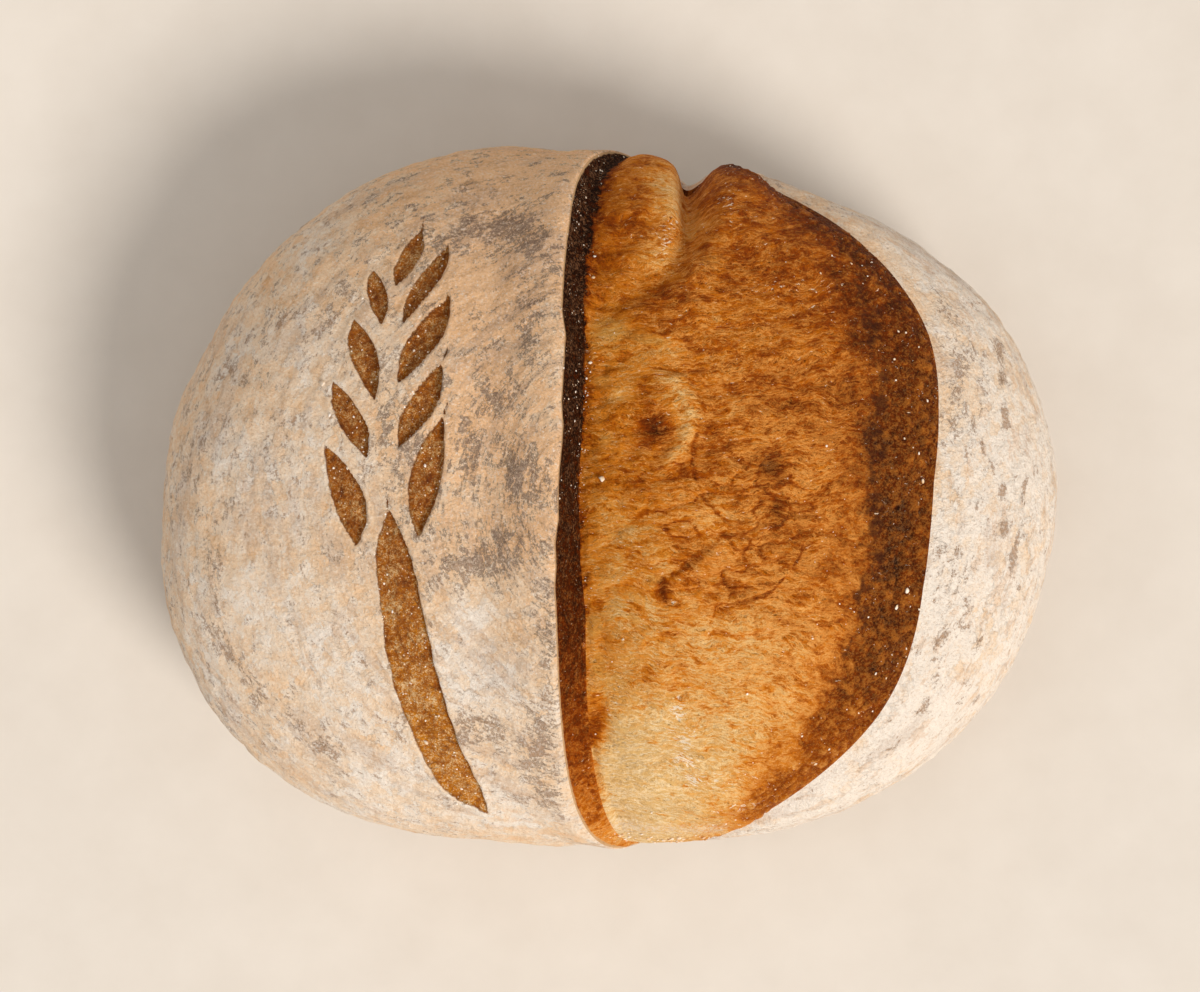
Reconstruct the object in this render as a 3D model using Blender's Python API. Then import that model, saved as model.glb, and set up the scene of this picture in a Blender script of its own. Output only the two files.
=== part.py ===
"""Sourdough loaf: an oval hearth loaf, scored once across the middle, with a raised ear and a burst bloom.

Run with: blender --background --python part.py
Metres, +Z up, standing on its flat base at z = 0. The score runs along Y, and the bloom faces +X.
"""
from math import acos, atan2, cos, exp, hypot, pi, radians, sin

import bmesh
import bpy
from mathutils import Vector

# ---- Driving dimensions ----
HALF_LENGTH = 0.1247            # the oval seen from above, along X
HALF_WIDTH = 0.0964             # and along Y
PLAN_POWER = 2.05               # 2 would be a true ellipse
PLAN_SWELLS = (                 # the oval is uneven: waves around it, amount, direction of a crest
    (1, 0.0021, radians(-133)),
    (3, 0.0022, radians(-12)),
    (4, 0.0026, radians(36)),
)
SHOULDER_OUT = 0.0022           # the right-hand lobe of the bloom bulges at the back
SHOULDER_HEADING = radians(67)
SHOULDER_SPREAD = radians(7)
GIRTH_Z = 0.040                 # height of the widest level
DOME_RISE = 0.0565              # from that level up to the top of the plain dome
DOME_POWER = 2.08
FOOT_RISE = 0.047               # uncut, the rounded underside would end this far below the girth
FOOT_POWER = 3.6

# ---- The score ----
# Places across the loaf are angles about the Y axis, from +X up over the top to -X.
# A line is (angle at the middle, flare added towards both ends of the score, lean along it).
SKIN_EDGE = (radians(25.5), radians(31), radians(-2.9))     # where the bloom meets the right-hand skin
FOOT_OF_CUT = (radians(98.4), radians(14), 0.0)             # where the bloom comes out under the ear
EAR_LIP = (radians(101.6), radians(16), 0.0)                # free edge of the lifted skin
FLARE_POWER = 4
SCORE_END_X = 0.15              # the score ends low on the front and back, on its own side of the middle
SCORE_END_Z = -0.15

EAR_RISE = 0.0085               # the lip stands this far out of the plain dome
EAR_END_RISE = 0.0008           # and this far at the ends of the score
EAR_RUN = radians(17)           # the skin climbs to the lip over this angle
BLOOM_DROP = 0.0055             # the bloom starts this deep at the foot of the cut
BLOOM_DROP_RUN = 0.34           # and is back on the dome after this share of its width
BLOOM_SWELL = 0.0022
SEAM_DEPTH = 0.0014             # shallow seam along the right-hand skin
SEAM_RUN = 0.045

# ---- The fold at the back, between the two lobes of the bloom, seen from above ----
FOLD_PATH = ((0.0245, 0.1100), (0.0225, 0.0740), (0.0170, 0.0610), (0.0090, 0.0560), (-0.0030, 0.0520))
FOLD_DEPTH = 0.0046
FOLD_END_DEPTH = 0.0012
FOLD_HALF_WIDTH = 0.0042

# ---- Mesh ----
RINGS = 70                      # from the back end of the score to the front end
COLUMN_STOPS = (0, 17, 43, 46, 76)      # columns at the base, skin edge, foot of the cut, lip, base again
MERGE_GAP = 0.0003
RIM_SNAP = 0.0015               # points this close to the level of the base go onto its rim

CRUST = (0.78, 0.62, 0.47, 1.0)


def smooth(t):
    """Ease from 0 to 1, flat at both ends."""
    t = min(max(t, 0.0), 1.0)
    return t * t * (3.0 - 2.0 * t)


def blend(a, b, t):
    return a + (b - a) * t


def plan_radius(heading):
    """Radius of the oval at the girth."""
    radius = ((abs(cos(heading)) / HALF_LENGTH) ** PLAN_POWER
              + (abs(sin(heading)) / HALF_WIDTH) ** PLAN_POWER) ** (-1.0 / PLAN_POWER)
    for waves, amount, crest in PLAN_SWELLS:
        radius += amount * cos(waves * (heading - crest))
    return radius + SHOULDER_OUT * exp(-((heading - SHOULDER_HEADING) / SHOULDER_SPREAD) ** 2)


def rim_point(x, y):
    """The point on the rim of the flat base that lies the same way from the middle as x, y."""
    heading = atan2(y, x)
    share = (1.0 - (GIRTH_Z / FOOT_RISE) ** FOOT_POWER) ** (1.0 / FOOT_POWER)
    radius = share * plan_radius(heading)
    return Vector((radius * cos(heading), radius * sin(heading), 0.0))


def dome_radius(way):
    """Distance from the centre of the girth to the unscored loaf, along a unit vector."""
    level = hypot(way.x, way.y) / plan_radius(atan2(way.y, way.x))
    rise, power = (DOME_RISE, DOME_POWER) if way.z > 0.0 else (FOOT_RISE, FOOT_POWER)
    return (level ** power + (abs(way.z) / rise) ** power) ** (-1.0 / power)


def line_angle(line, along):
    """Angle of a line of the score, with along running from 1 at the back to -1 at the front."""
    middle, flare, lean = line
    return middle + flare * abs(along) ** FLARE_POWER + lean * along


def even(angle):
    """Turn a true angle across the loaf into one that is evenly spaced on its long, low section."""
    turns = round(angle / (2.0 * pi))
    return 2.0 * pi * turns + atan2(sin(angle) / DOME_RISE, cos(angle) / HALF_LENGTH)


def true(angle):
    """The inverse of even()."""
    turns = round(angle / (2.0 * pi))
    return 2.0 * pi * turns + atan2(sin(angle) * DOME_RISE, cos(angle) * HALF_LENGTH)


def column_angle(column, along):
    """Angle of a column of the mesh, so that columns follow the skin edge, the foot of the cut and the lip."""
    angles = (-pi / 2.0, line_angle(SKIN_EDGE, along), line_angle(FOOT_OF_CUT, along),
              line_angle(EAR_LIP, along), 1.5 * pi)
    for first, last, start, stop in zip(COLUMN_STOPS, COLUMN_STOPS[1:], angles, angles[1:]):
        if column <= last:
            return true(blend(even(start), even(stop), (column - first) / (last - first)))


def fold_depth(x, y):
    """Depth of the back fold at a place seen from above."""
    place = Vector((x, y))
    stops = [Vector(stop) for stop in FOLD_PATH]
    best_gap, best_share = None, 0.0
    for number, (start, stop) in enumerate(zip(stops, stops[1:])):
        run = stop - start
        share = min(max((place - start).dot(run) / run.length_squared, 0.0), 1.0)
        gap = (place - start - run * share).length
        if best_gap is None or gap < best_gap:
            best_gap, best_share = gap, (number + share) / (len(stops) - 1)
    return blend(FOLD_DEPTH, FOLD_END_DEPTH, best_share) * exp(-(best_gap / FOLD_HALF_WIDTH) ** 2)


def relief(angle, along, x, y):
    """How far the scored crust stands out of the plain dome."""
    skin, foot, lip = (line_angle(line, along) for line in (SKIN_EDGE, FOOT_OF_CUT, EAR_LIP))
    open_share = 1.0 - along ** FLARE_POWER         # the score is widest open at the middle
    ear = blend(EAR_END_RISE, EAR_RISE, open_share)
    drop = BLOOM_DROP * open_share
    if angle >= lip:
        return ear * (1.0 - smooth((angle - lip) / EAR_RUN))
    if angle >= foot:
        return blend(-drop, ear, (angle - foot) / (lip - foot))
    across = (foot - angle) / (foot - skin)         # 0 at the foot of the cut, 1 at the skin edge
    seam = SEAM_DEPTH * exp(-((1.0 - across) / SEAM_RUN) ** 2)
    if across >= 1.0:
        return -seam
    return (-drop * (1.0 - smooth(across / BLOOM_DROP_RUN)) + BLOOM_SWELL * open_share * sin(pi * across)
            - seam - fold_depth(x, y) * smooth(across / 0.04))


def loaf_point(column, along):
    """The point of the crust on a column, at a place along the score."""
    angle = column_angle(column, along)
    ring = (1.0 - along * along) ** 0.5
    way = Vector((ring * cos(angle) + SCORE_END_X * along ** 2, along,
                  ring * sin(angle) + SCORE_END_Z * along ** 2)).normalized()
    radius = dome_radius(way)
    radius += relief(angle, along, way.x * radius, way.y * radius)
    return way * radius + Vector((0.0, 0.0, GIRTH_Z))


def make_material(name, colour, roughness):
    material = bpy.data.materials.new(name)
    material.use_nodes = True
    shader = material.node_tree.nodes["Principled BSDF"]
    shader.inputs["Base Color"].default_value = colour
    shader.inputs["Roughness"].default_value = roughness
    shader.inputs["Metallic"].default_value = 0.0
    return material


def make_loaf():
    """A sphere with its poles at the two ends of the score, shaped into the loaf and cut flat below."""
    columns = COLUMN_STOPS[-1]
    mesh = bmesh.new()
    bmesh.ops.create_uvsphere(mesh, u_segments=columns, v_segments=RINGS, radius=1.0)
    for vertex in mesh.verts:
        along = cos(acos(min(max(vertex.co.z, -1.0), 1.0)))
        turn = atan2(vertex.co.y, vertex.co.x) % (2.0 * pi)
        column = round(turn / (2.0 * pi) * columns) % columns
        vertex.co = loaf_point(column, along)
        if abs(vertex.co.z) < RIM_SNAP:
            vertex.co = rim_point(vertex.co.x, vertex.co.y)

    everything = mesh.verts[:] + mesh.edges[:] + mesh.faces[:]
    bmesh.ops.bisect_plane(mesh, geom=everything, plane_co=(0, 0, 0), plane_no=(0, 0, 1), clear_inner=True)
    for vertex in {vertex for edge in mesh.edges if edge.is_boundary for vertex in edge.verts}:
        vertex.co = rim_point(vertex.co.x, vertex.co.y)
    bmesh.ops.remove_doubles(mesh, verts=mesh.verts, dist=MERGE_GAP)
    flat = [face for face in mesh.faces if max(vertex.co.z for vertex in face.verts) < MERGE_GAP]
    bmesh.ops.delete(mesh, geom=flat, context="FACES")
    rim = [edge for edge in mesh.edges if edge.is_boundary]
    bmesh.ops.edgeloop_fill(mesh, edges=rim)
    bmesh.ops.recalc_face_normals(mesh, faces=mesh.faces)
    bmesh.ops.triangulate(mesh, faces=mesh.faces)

    data = bpy.data.meshes.new("loaf")
    mesh.to_mesh(data)
    mesh.free()
    loaf = bpy.data.objects.new("loaf", data)
    loaf.data.materials.append(make_material("floured_crust", CRUST, 0.85))
    return loaf


for old in list(bpy.data.objects):
    bpy.data.objects.remove(old, do_unlink=True)

collection = bpy.data.collections.new("sourdough_loaf")
bpy.context.scene.collection.children.link(collection)
collection.objects.link(make_loaf())
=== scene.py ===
"""A sourdough loaf: floured crust with a wheat-ear scoring, a raised ear and the browned bloom beside it."""
import itertools
import math

import bmesh
import bpy
import mathutils
import numpy as np
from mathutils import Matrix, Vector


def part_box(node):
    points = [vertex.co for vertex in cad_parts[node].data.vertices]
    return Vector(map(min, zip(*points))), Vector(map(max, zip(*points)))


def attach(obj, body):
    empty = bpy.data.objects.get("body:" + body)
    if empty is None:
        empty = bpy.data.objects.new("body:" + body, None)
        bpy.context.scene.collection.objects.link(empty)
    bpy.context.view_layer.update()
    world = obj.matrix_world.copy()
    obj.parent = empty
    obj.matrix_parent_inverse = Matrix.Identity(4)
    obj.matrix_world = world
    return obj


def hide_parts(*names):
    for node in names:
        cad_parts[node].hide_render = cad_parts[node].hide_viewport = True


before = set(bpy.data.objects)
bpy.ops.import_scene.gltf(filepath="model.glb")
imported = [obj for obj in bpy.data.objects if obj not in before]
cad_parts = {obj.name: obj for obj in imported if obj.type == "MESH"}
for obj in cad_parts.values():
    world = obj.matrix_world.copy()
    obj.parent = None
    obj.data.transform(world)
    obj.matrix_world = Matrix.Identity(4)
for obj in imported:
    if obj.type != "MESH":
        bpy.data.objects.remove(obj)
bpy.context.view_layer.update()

# ---- The dough ----
# One oval piece of dough, scored once across and baked on its flat base. In the oven the score tore open:
# the skin on its left lifted into an ear, and the inside swelled out beside it as the bloom.
# Everything on it is placed by an angle across the loaf, about Y, and a place along the score.

MM = 0.001
loaf_low, loaf_high = (np.array(corner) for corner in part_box("loaf"))
length, width, height = loaf_high - loaf_low
half_length, half_width = 0.5076 * length, 0.5031 * width
girth_z = 0.3823 * height               # height of the widest level
dome_rise = 0.5400 * height             # from that level up to the top of the plain dome
foot_rise = 0.4492 * height             # uncut, the rounded underside would end this far below it
PLAN_POWER, DOME_POWER, FOOT_POWER = 2.05, 2.08, 3.6
PLAN_SWELLS = ((1, 2.1 * MM, -133), (3, 2.2 * MM, -12), (4, 2.6 * MM, 36))     # waves, amount, crest in degrees
SHOULDER_OUT, SHOULDER_AT, SHOULDER_SPREAD = 2.2 * MM, math.radians(67), math.radians(7)

# A line of the score: angle at the middle, flare towards both ends, lean along it, and how it strays on the way,
# as places along the score with degrees.
SKIN_EDGE = (25.5, 31.0, -2.9, (        # where the bloom meets the right-hand skin
    (-1, -2), (-0.81, -1.7), (-0.6, -1.3), (-0.4, -0.45), (-0.25, 0.05), (0.05, 0), (0.25, -0.8), (0.43, -2.0),
    (0.57, -2.6), (0.68, -3.7), (0.76, -5.5), (0.86, -8.6), (0.96, -7.8), (1, -7)))
FOOT_OF_CUT = (98.4, 14.0, 0.0, (       # where the bloom comes out from under the ear
    (-1, 0.5), (-0.7, 0.5), (-0.5, -0.3), (-0.3, 0.3), (-0.15, -0.2), (0, 0.2), (0.3, -0.2), (0.62, 0.3), (0.78, 2.2),
    (0.88, 4.2), (0.94, 4.6), (1, 3)))
EAR_LIP = (101.6, 16.0, 0.0, (          # free edge of the lifted skin
    (-1, 2), (-0.86, 2.6), (-0.6, 2.2), (-0.4, 1.6), (-0.33, 1.5), (-0.26, 0.9), (-0.17, 0.85), (-0.08, -0.15), (0.1, -0.2),
    (0.2, -0.6), (0.28, -0.6), (0.36, 0.1), (0.56, 0.3), (0.62, 1.6), (0.8, 2.1), (0.86, 3.0), (0.92, 3.7), (1, 3)))
FLARE_POWER = 4
SCORE_END_X, SCORE_END_Z = 0.15, -0.15  # the score ends low on the back and front, right of the middle

RINGS = 480                             # from the back end of the score to the front end


def clouds(points, size, octaves=1, seed=0):
    """Smooth noise, about -1 to 1, with lumps of the given size and finer ones on them."""
    slopes = np.random.default_rng(seed).normal(size=(4096, 3))
    slopes /= np.linalg.norm(slopes, axis=1, keepdims=True)
    total, strength = 0.0, 1.0
    for octave in range(octaves):
        cell = points / size * 2.0 ** octave + 31.7 * (octave + seed % 7)
        low = np.floor(cell).astype(np.int64)
        part = cell - low
        fade = part * part * part * (part * (6.0 * part - 15.0) + 10.0)
        for corner in itertools.product((0, 1), repeat=3):
            spot = low + corner
            key = (spot[..., 0] * 73856093) ^ (spot[..., 1] * 19349663) ^ (spot[..., 2] * 83492791)
            slope = slopes[(key ^ (key >> 13)) & 4095]
            weight = np.prod(np.where(corner, fade, 1.0 - fade), axis=-1)
            total = total + strength * weight * np.sum(slope * (part - corner), axis=-1) * 1.6
        strength *= 0.5
    return total


def ease(value, low=0.0, high=1.0):
    """0 below low, 1 above high, and smooth between; low may be the larger."""
    share = np.clip((value - low) / (high - low), 0.0, 1.0)
    return share * share * (3.0 - 2.0 * share)


def hump(gap, half_width):
    """1 at a gap of 0, fading to nothing a few half widths away."""
    return np.exp(-(gap / half_width) ** 2)


def plan_radius(heading):
    """Radius of the uneven oval at the girth."""
    radius = ((np.abs(np.cos(heading)) / half_length) ** PLAN_POWER
              + (np.abs(np.sin(heading)) / half_width) ** PLAN_POWER) ** (-1.0 / PLAN_POWER)
    for waves, amount, crest in PLAN_SWELLS:
        radius = radius + amount * np.cos(waves * (heading - math.radians(crest)))
    return radius + SHOULDER_OUT * hump(heading - SHOULDER_AT, SHOULDER_SPREAD)


def line_angle(line, along):
    """Angle of a line of the score, with along running from 1 at the back to -1 at the front."""
    middle, flare, lean, strays = line
    stray = np.interp(along, *zip(*strays))
    return np.radians(middle + flare * np.abs(along) ** FLARE_POWER + lean * along + stray)


def ways(angle, along):
    """Unit vectors from the middle of the girth to places on the crust."""
    ring = np.sqrt(1.0 - along ** 2)
    way = np.stack([ring * np.cos(angle) + SCORE_END_X * along ** 2, along + 0.0 * angle,
                    ring * np.sin(angle) + SCORE_END_Z * along ** 2], axis=-1)
    return way / np.linalg.norm(way, axis=-1, keepdims=True)


def dome_radius(way):
    """Distance from the middle of the girth to the unscored loaf."""
    level = np.hypot(way[..., 0], way[..., 1]) / plan_radius(np.arctan2(way[..., 1], way[..., 0]))
    up = way[..., 2] > 0.0
    rise, power = np.where(up, dome_rise, foot_rise), np.where(up, DOME_POWER, FOOT_POWER)
    return (level ** power + (np.abs(way[..., 2]) / rise) ** power) ** (-1.0 / power)


def smooth_path(stops, samples=60):
    """A smooth curve through a few stops, as evenly numbered points."""
    stops = np.array(stops, float)
    ends = [2 * stops[0] - stops[1]], [2 * stops[-1] - stops[-2]]
    stops = np.concatenate([ends[0], stops, ends[1]])
    places = np.linspace(0, len(stops) - 3 - 1e-9, samples)
    first, t = places.astype(int), (places % 1)[:, None]
    a, b, c, d = (stops[first + step] for step in range(4))
    return 0.5 * (2 * b + (c - a) * t + (2 * a - 5 * b + 4 * c - d) * t ** 2 + (3 * b - a - 3 * c + d) * t ** 3)


def beside_path(plan, path, reach=9.0 * MM):
    """For places seen from above: distance to a path, share along it, and side, +1 on its left."""
    close = np.all((plan > path.min(axis=0) - reach) & (plan < path.max(axis=0) + reach), axis=-1)
    everywhere = np.full(plan.shape[:-1], reach), np.zeros(plan.shape[:-1]), np.ones(plan.shape[:-1])
    plan, gap = plan[close], np.full(np.count_nonzero(close), reach)
    share, side = np.zeros_like(gap), np.ones_like(gap)
    for number, (start, stop) in enumerate(zip(path, path[1:])):
        run, off = stop - start, plan - start
        t = np.clip(off @ run / (run @ run), 0.0, 1.0)
        reach = off - t[..., None] * run
        new_gap = np.hypot(reach[..., 0], reach[..., 1])
        closer = new_gap < gap
        gap = np.where(closer, new_gap, gap)
        share = np.where(closer, (number + t) / (len(path) - 1), share)
        side = np.where(closer, np.sign(run[0] * off[..., 1] - run[1] * off[..., 0]), side)
    for whole, part in zip(everywhere, (gap, share, side)):
        whole[close] = part
    return everywhere


# The ear and the bloom, as heights above the plain dome.
EAR_RISE, EAR_END_RISE, EAR_RUN = 8.5 * MM, 0.8 * MM, math.radians(22)
LIP_ROUND, LIP_RUN = 0.9 * MM, math.radians(1.1)        # the lip's edge is rounded over
BLOOM_DROP, BLOOM_DROP_RUN, BLOOM_SWELL = 5.5 * MM, 0.34, 2.2 * MM
SEAM_DEPTH, SEAM_RUN = 1.4 * MM, 0.045
FOLD = smooth_path([(24.5, 110), (22.5, 74), (17, 61), (9, 56), (-3, 52)]) * MM
FOLD_DEPTH, FOLD_END_DEPTH, FOLD_HALF_WIDTH = 4.6 * MM, 1.2 * MM, 4.2 * MM
NOTCH_DEPTH = 4.6 * MM                                  # more, where the fold runs out over the back


def score_relief(angle, along, spots):
    """How far the scored crust stands out of the plain dome, at spots on that dome."""
    plan = spots[..., :2]
    skin, foot, lip = (line_angle(line, along) for line in (SKIN_EDGE, FOOT_OF_CUT, EAR_LIP))
    open_share = 1.0 - along ** FLARE_POWER             # the score is widest open at the middle
    ear = EAR_END_RISE + (EAR_RISE - EAR_END_RISE) * open_share
    drop = BLOOM_DROP * open_share
    rounding = LIP_ROUND * (0.3 + 0.7 * open_share)

    left = ear * (1.0 - ease((angle - lip) / EAR_RUN)) - rounding * np.clip(1 - (angle - lip) / LIP_RUN, 0, 1) ** 2
    up_the_cut = np.clip((angle - foot) / (lip - foot), 0.0, 1.0) ** 1.3
    cut = -drop + (ear - rounding + drop) * up_the_cut
    across = (foot - angle) / (foot - skin)             # 0 at the foot of the cut, 1 at the skin edge
    seam = SEAM_DEPTH * hump(1.0 - across, SEAM_RUN)
    gap, share, _ = beside_path(plan, FOLD, 16 * MM)
    fold = (FOLD_DEPTH + (FOLD_END_DEPTH - FOLD_DEPTH) * share) * hump(gap, FOLD_HALF_WIDTH)
    inside = np.clip(across, 0.0, 1.0)
    notch = (NOTCH_DEPTH * hump(gap, FOLD_HALF_WIDTH) * ease(plan[..., 1], 60 * MM, 86 * MM)
             * ease(spots[..., 2], -30 * MM, -12 * MM))
    bloom = (-drop * (1.0 - ease(across / BLOOM_DROP_RUN)) + BLOOM_SWELL * open_share * np.sin(math.pi * inside)
             - seam - (fold + notch) * ease(across / 0.04))
    return np.where(angle >= lip, left, np.where(angle >= foot, cut, np.where(across < 1.0, bloom, -seam - notch)))


class Sheet:
    """A part of the crust as a grid, rings from back to front by columns from one line to another."""

    def __init__(self, start, stop, columns, crowding=1.0):
        ring = np.linspace(0.0, math.pi, RINGS)[:, None]
        self.along = np.cos(ring)
        begin, end = (line_angle(line, self.along) if isinstance(line, tuple) else math.radians(line) + 0 * ring
                      for line in (start, stop))
        trial = begin + (end - begin) * np.linspace(0.0, 1.0, 400)
        points = self._place(trial)
        steps = np.linalg.norm(np.diff(points, axis=1), axis=2)
        reach = np.concatenate([0 * ring, np.cumsum(steps, axis=1)], axis=1)
        spread = np.linspace(0.0, 1.0, columns) ** crowding
        self.angle, self.run = np.zeros((RINGS, columns)), np.zeros((RINGS, 1))
        for row in range(RINGS):
            under = np.flatnonzero(points[row, :, 2] < 0.0)
            whole = reach[row, -1]
            if len(under):                              # this ring ends on the rim of the base
                last = under[0]
                drop = points[row, last - 1, 2] / (points[row, last - 1, 2] - points[row, last, 2])
                whole = reach[row, last - 1] + drop * steps[row, last - 1]
            self.angle[row] = np.interp(spread * whole, reach[row], trial[row])
            self.run[row] = whole
        self.across = spread * self.run                 # distance from the start line
        self.points = self._place(self.angle)
        self.plan = self.points[..., :2]
        self.shares = np.broadcast_to(spread, self.angle.shape)

    def _place(self, angle):
        self.way = ways(angle, self.along)
        radius = dome_radius(self.way)
        radius = radius + score_relief(angle, self.along, self.way * radius[..., None])
        return self.way * radius[..., None] + (0.0, 0.0, girth_z)

    def lift(self, amount):
        """Moves the crust outwards."""
        self.points = self.points + self.way * amount[..., None]
        self.points[..., 2] = np.maximum(self.points[..., 2], 0.0)

    def mesh(self, name, material, **painted):
        """Makes the mesh, closed to a point at both ends of the score, with values painted on its points."""
        rows, columns = self.angle.shape
        inner = self.points[1:-1].reshape(-1, 3)
        points = np.concatenate([inner, self.points[0, :1], self.points[-1, :1]])
        back, front = len(inner), len(inner) + 1
        number = np.arange(len(inner)).reshape(rows - 2, columns)
        quads = np.stack([number[:-1, :-1], number[1:, :-1], number[1:, 1:], number[:-1, 1:]], -1).reshape(-1, 4)
        fans = [(back, b, a) for a, b in zip(number[0, 1:].tolist(), number[0].tolist())]
        fans += [(front, a, b) for a, b in zip(number[-1, 1:].tolist(), number[-1].tolist())]
        data = bpy.data.meshes.new(name)
        data.from_pydata(points, [], quads[:, ::-1].tolist() + fans)
        data.shade_smooth()
        for label, values in painted.items():
            values = np.broadcast_to(values, self.points.shape if values.shape[-1] == 3 else self.angle.shape)
            flat = values[1:-1].reshape(-1, *values.shape[2:])
            flat = np.concatenate([flat, values[0, :1], values[-1, :1]]).astype(np.float32)
            kind = "FLOAT_VECTOR" if flat.ndim == 2 else "FLOAT"
            layer = data.attributes.new(label, kind, "POINT")
            layer.data.foreach_set("vector" if flat.ndim == 2 else "value", flat.ravel())
        places = np.stack([self.shares, np.broadcast_to(np.linspace(0, 1, rows)[:, None], self.shares.shape)], -1)
        places = np.concatenate([places[1:-1].reshape(-1, 2), [(0.5, 0.0), (0.5, 1.0)]])
        corners = np.empty(len(data.loops), np.int32)
        data.loops.foreach_get("vertex_index", corners)
        data.uv_layers.new(name="OFBake").data.foreach_set("uv", places[corners].astype(np.float32).ravel())
        data.materials.append(material)
        piece = bpy.data.objects.new(name, data)
        bpy.context.scene.collection.objects.link(piece)
        return piece


# ---- Floured crust, left of the score ----
# The widest stretch of skin, dusted with rice flour before it was baked. It runs from the lip of the ear
# over the shoulder and down to the base. A wheat ear is cut into it with the tip of a blade, about 1 mm deep,
# and the cuts opened a little as the loaf rose, so bare brown dough shows in them.

BUMP_SIZE, BUMP_HEIGHT = 5.0 * MM, 0.34 * MM
SWELL_SIZE, SWELL_HEIGHT = 34.0 * MM, 0.9 * MM
CUT_DEPTH, CUT_WALL, CUT_FLOOR = 1.6 * MM, 0.9 * MM, 0.55 * MM
# Each grain of the wheat ear from above: tip, foot, then how far each side bulges and at what share of the way down.
GRAINS = (
    ((-49.3, 71.5), (-55.9, 55.8), (-2.9, 0.6), (2.4, 0.35)), ((-42.2, 67.3), (-54.0, 45.2), (-2.8, 0.62), (3.1, 0.3)),
    ((-40.9, 52.9), (-54.7, 29.6), (-3.9, 0.6), (4.1, 0.4)), ((-42.4, 35.0), (-54.4, 13.0), (-3.5, 0.66), (3.7, 0.4)),
    ((-42.5, 22.0), (-49.2, -10.9), (-5.6, 0.56), (2.4, 0.5)), ((-62.1, 60.6), (-59.2, 45.0), (-2.5, 0.36), (2.7, 0.5)),
    ((-66.6, 47.2), (-60.5, 25.4), (-3.4, 0.32), (3.7, 0.5)), ((-71.9, 31.0), (-62.2, 10.3), (-3.0, 0.45), (3.5, 0.62)),
    ((-73.6, 14.3), (-65.4, -13.0), (-2.6, 0.5), (5.8, 0.58)),
)
STALK_LEFT = ((-57.2, -2.2), (-60.6, -14.7), (-59.4, -29.5), (-55.7, -50.0), (-49.2, -67.0), (-42.9, -77.6), (-31.6, -84.1))
STALK_RIGHT = ((-31.6, -84.1), (-34.1, -74.9), (-38.5, -65.0), (-43.8, -48.0), (-48.0, -30.4), (-51.2, -14.6), (-57.2, -2.2))
# Short flicks of the blade past the tips of the grains, and above the stalk: start, end.
FLICKS = (((-42.2, 51.0), (-40.2, 58.5)), ((-42.4, 35.0), (-40.0, 42.5)), ((-42.4, 22.0), (-39.8, 28.5)),
          ((-57.2, -3.0), (-58.4, 6.0)), ((-49.2, 71.5), (-48.8, 76.0)))
FLICK_HALF_WIDTH = 0.35
# Where the flour lies thin and has crazed, and where it lies thick: x, y, half lengths, turn, strength.
THIN_FLOUR = (
    (-29, 71, 13, 4, 4, 1.0), (-42, 68, 8, 3, 20, 0.8), (-19, 67, 6, 5, -30, 0.8), (-21, 45, 3, 13, 5, 0.6),
    (-29, 27, 5, 9, 0, 0.5), (-23, 6, 7, 10, 10, 0.75), (-31, -15, 13, 7, 25, 0.8), (-36, 12, 3, 9, 0, 0.5),
    (-18, -63, 5, 9, 10, 0.9), (-34, -60, 8, 5, -20, 0.9), (-17, -77, 5, 6, 0, 0.9), (-56, 12, 3, 14, 12, 0.5),
    (-15, -44, 3, 16, 0, 0.5), (-104, -22, 3, 12, 12, 0.5), (-103, -38, 3, 9, 25, 0.6), (-93, -52, 3, 9, 40, 0.6),
    (-79, -62, 4, 10, 55, 0.6), (-110, 10, 4, 12, -10, 0.4), (-73, 50, 3, 12, -35, 0.4), (-96, 28, 4, 14, -20, 0.3),
)
THICK_FLOUR = (
    (-33, -31, 9, 9, 0, 1.0), (-29, -43, 7, 9, 0, 0.7), (-39, -44, 5, 12, 12, 0.7), (-90, -32, 16, 16, 0, 0.5),
    (-76, -38, 14, 15, 0, 0.6), (-84, -62, 16, 10, 45, 0.5), (-62, -78, 22, 10, 10, 0.6), (-25, -86, 16, 6, 0, 0.8),
    (-28, 4, 4, 7, 0, 0.4), (-98, 6, 10, 10, 0, 0.25),
)


def outline(*sides):
    """A closed outline from above, smooth along each side and sharp where two sides meet."""
    return np.concatenate([smooth_path(side, 5 * len(side))[:-1] for side in sides])


def grain_outline(tip, foot, *bulges):
    """The outline of one grain, round-sided and pointed at both ends."""
    tip, foot = np.array(tip), np.array(foot)
    out = (foot - tip)[::-1] * (-1, 1) / np.linalg.norm(foot - tip)
    sides = [[tip] + [tip + (foot - tip) * place + out * swell * bulge for place, swell in (
        (0.5 * most, 0.74), (most, 1.0), (0.5 + 0.5 * most, 0.72))] + [foot] for bulge, most in bulges]
    return outline(sides[0], sides[1][::-1])


def inside_by(plan, loop):
    """Distance to a closed outline seen from above, positive inside it."""
    loop = np.concatenate([loop, loop[:1]])
    gap, odd = beside_path(plan, loop)[0], np.zeros(plan.shape[:-1], bool)
    for (x0, y0), (x1, y1) in zip(loop, loop[1:]):
        if y0 != y1:
            odd ^= ((plan[..., 1] > y0) != (plan[..., 1] > y1)) & (
                plan[..., 0] < x0 + (plan[..., 1] - y0) / (y1 - y0) * (x1 - x0))
    return np.where(odd, gap, -gap)


def patches(plan, spots):
    """How strongly soft oval patches cover each place; spots are in millimetres and degrees."""
    cover = np.zeros(plan.shape[:-1])
    for x, y, half_x, half_y, turn, strength in spots:
        off = plan / MM - (x, y)
        c, s = math.cos(math.radians(turn)), math.sin(math.radians(turn))
        along, across = off[..., 0] * c + off[..., 1] * s, off[..., 1] * c - off[..., 0] * s
        cover = np.maximum(cover, strength * hump(np.hypot(along / half_x, across / half_y), 1.0))
    return cover


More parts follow.
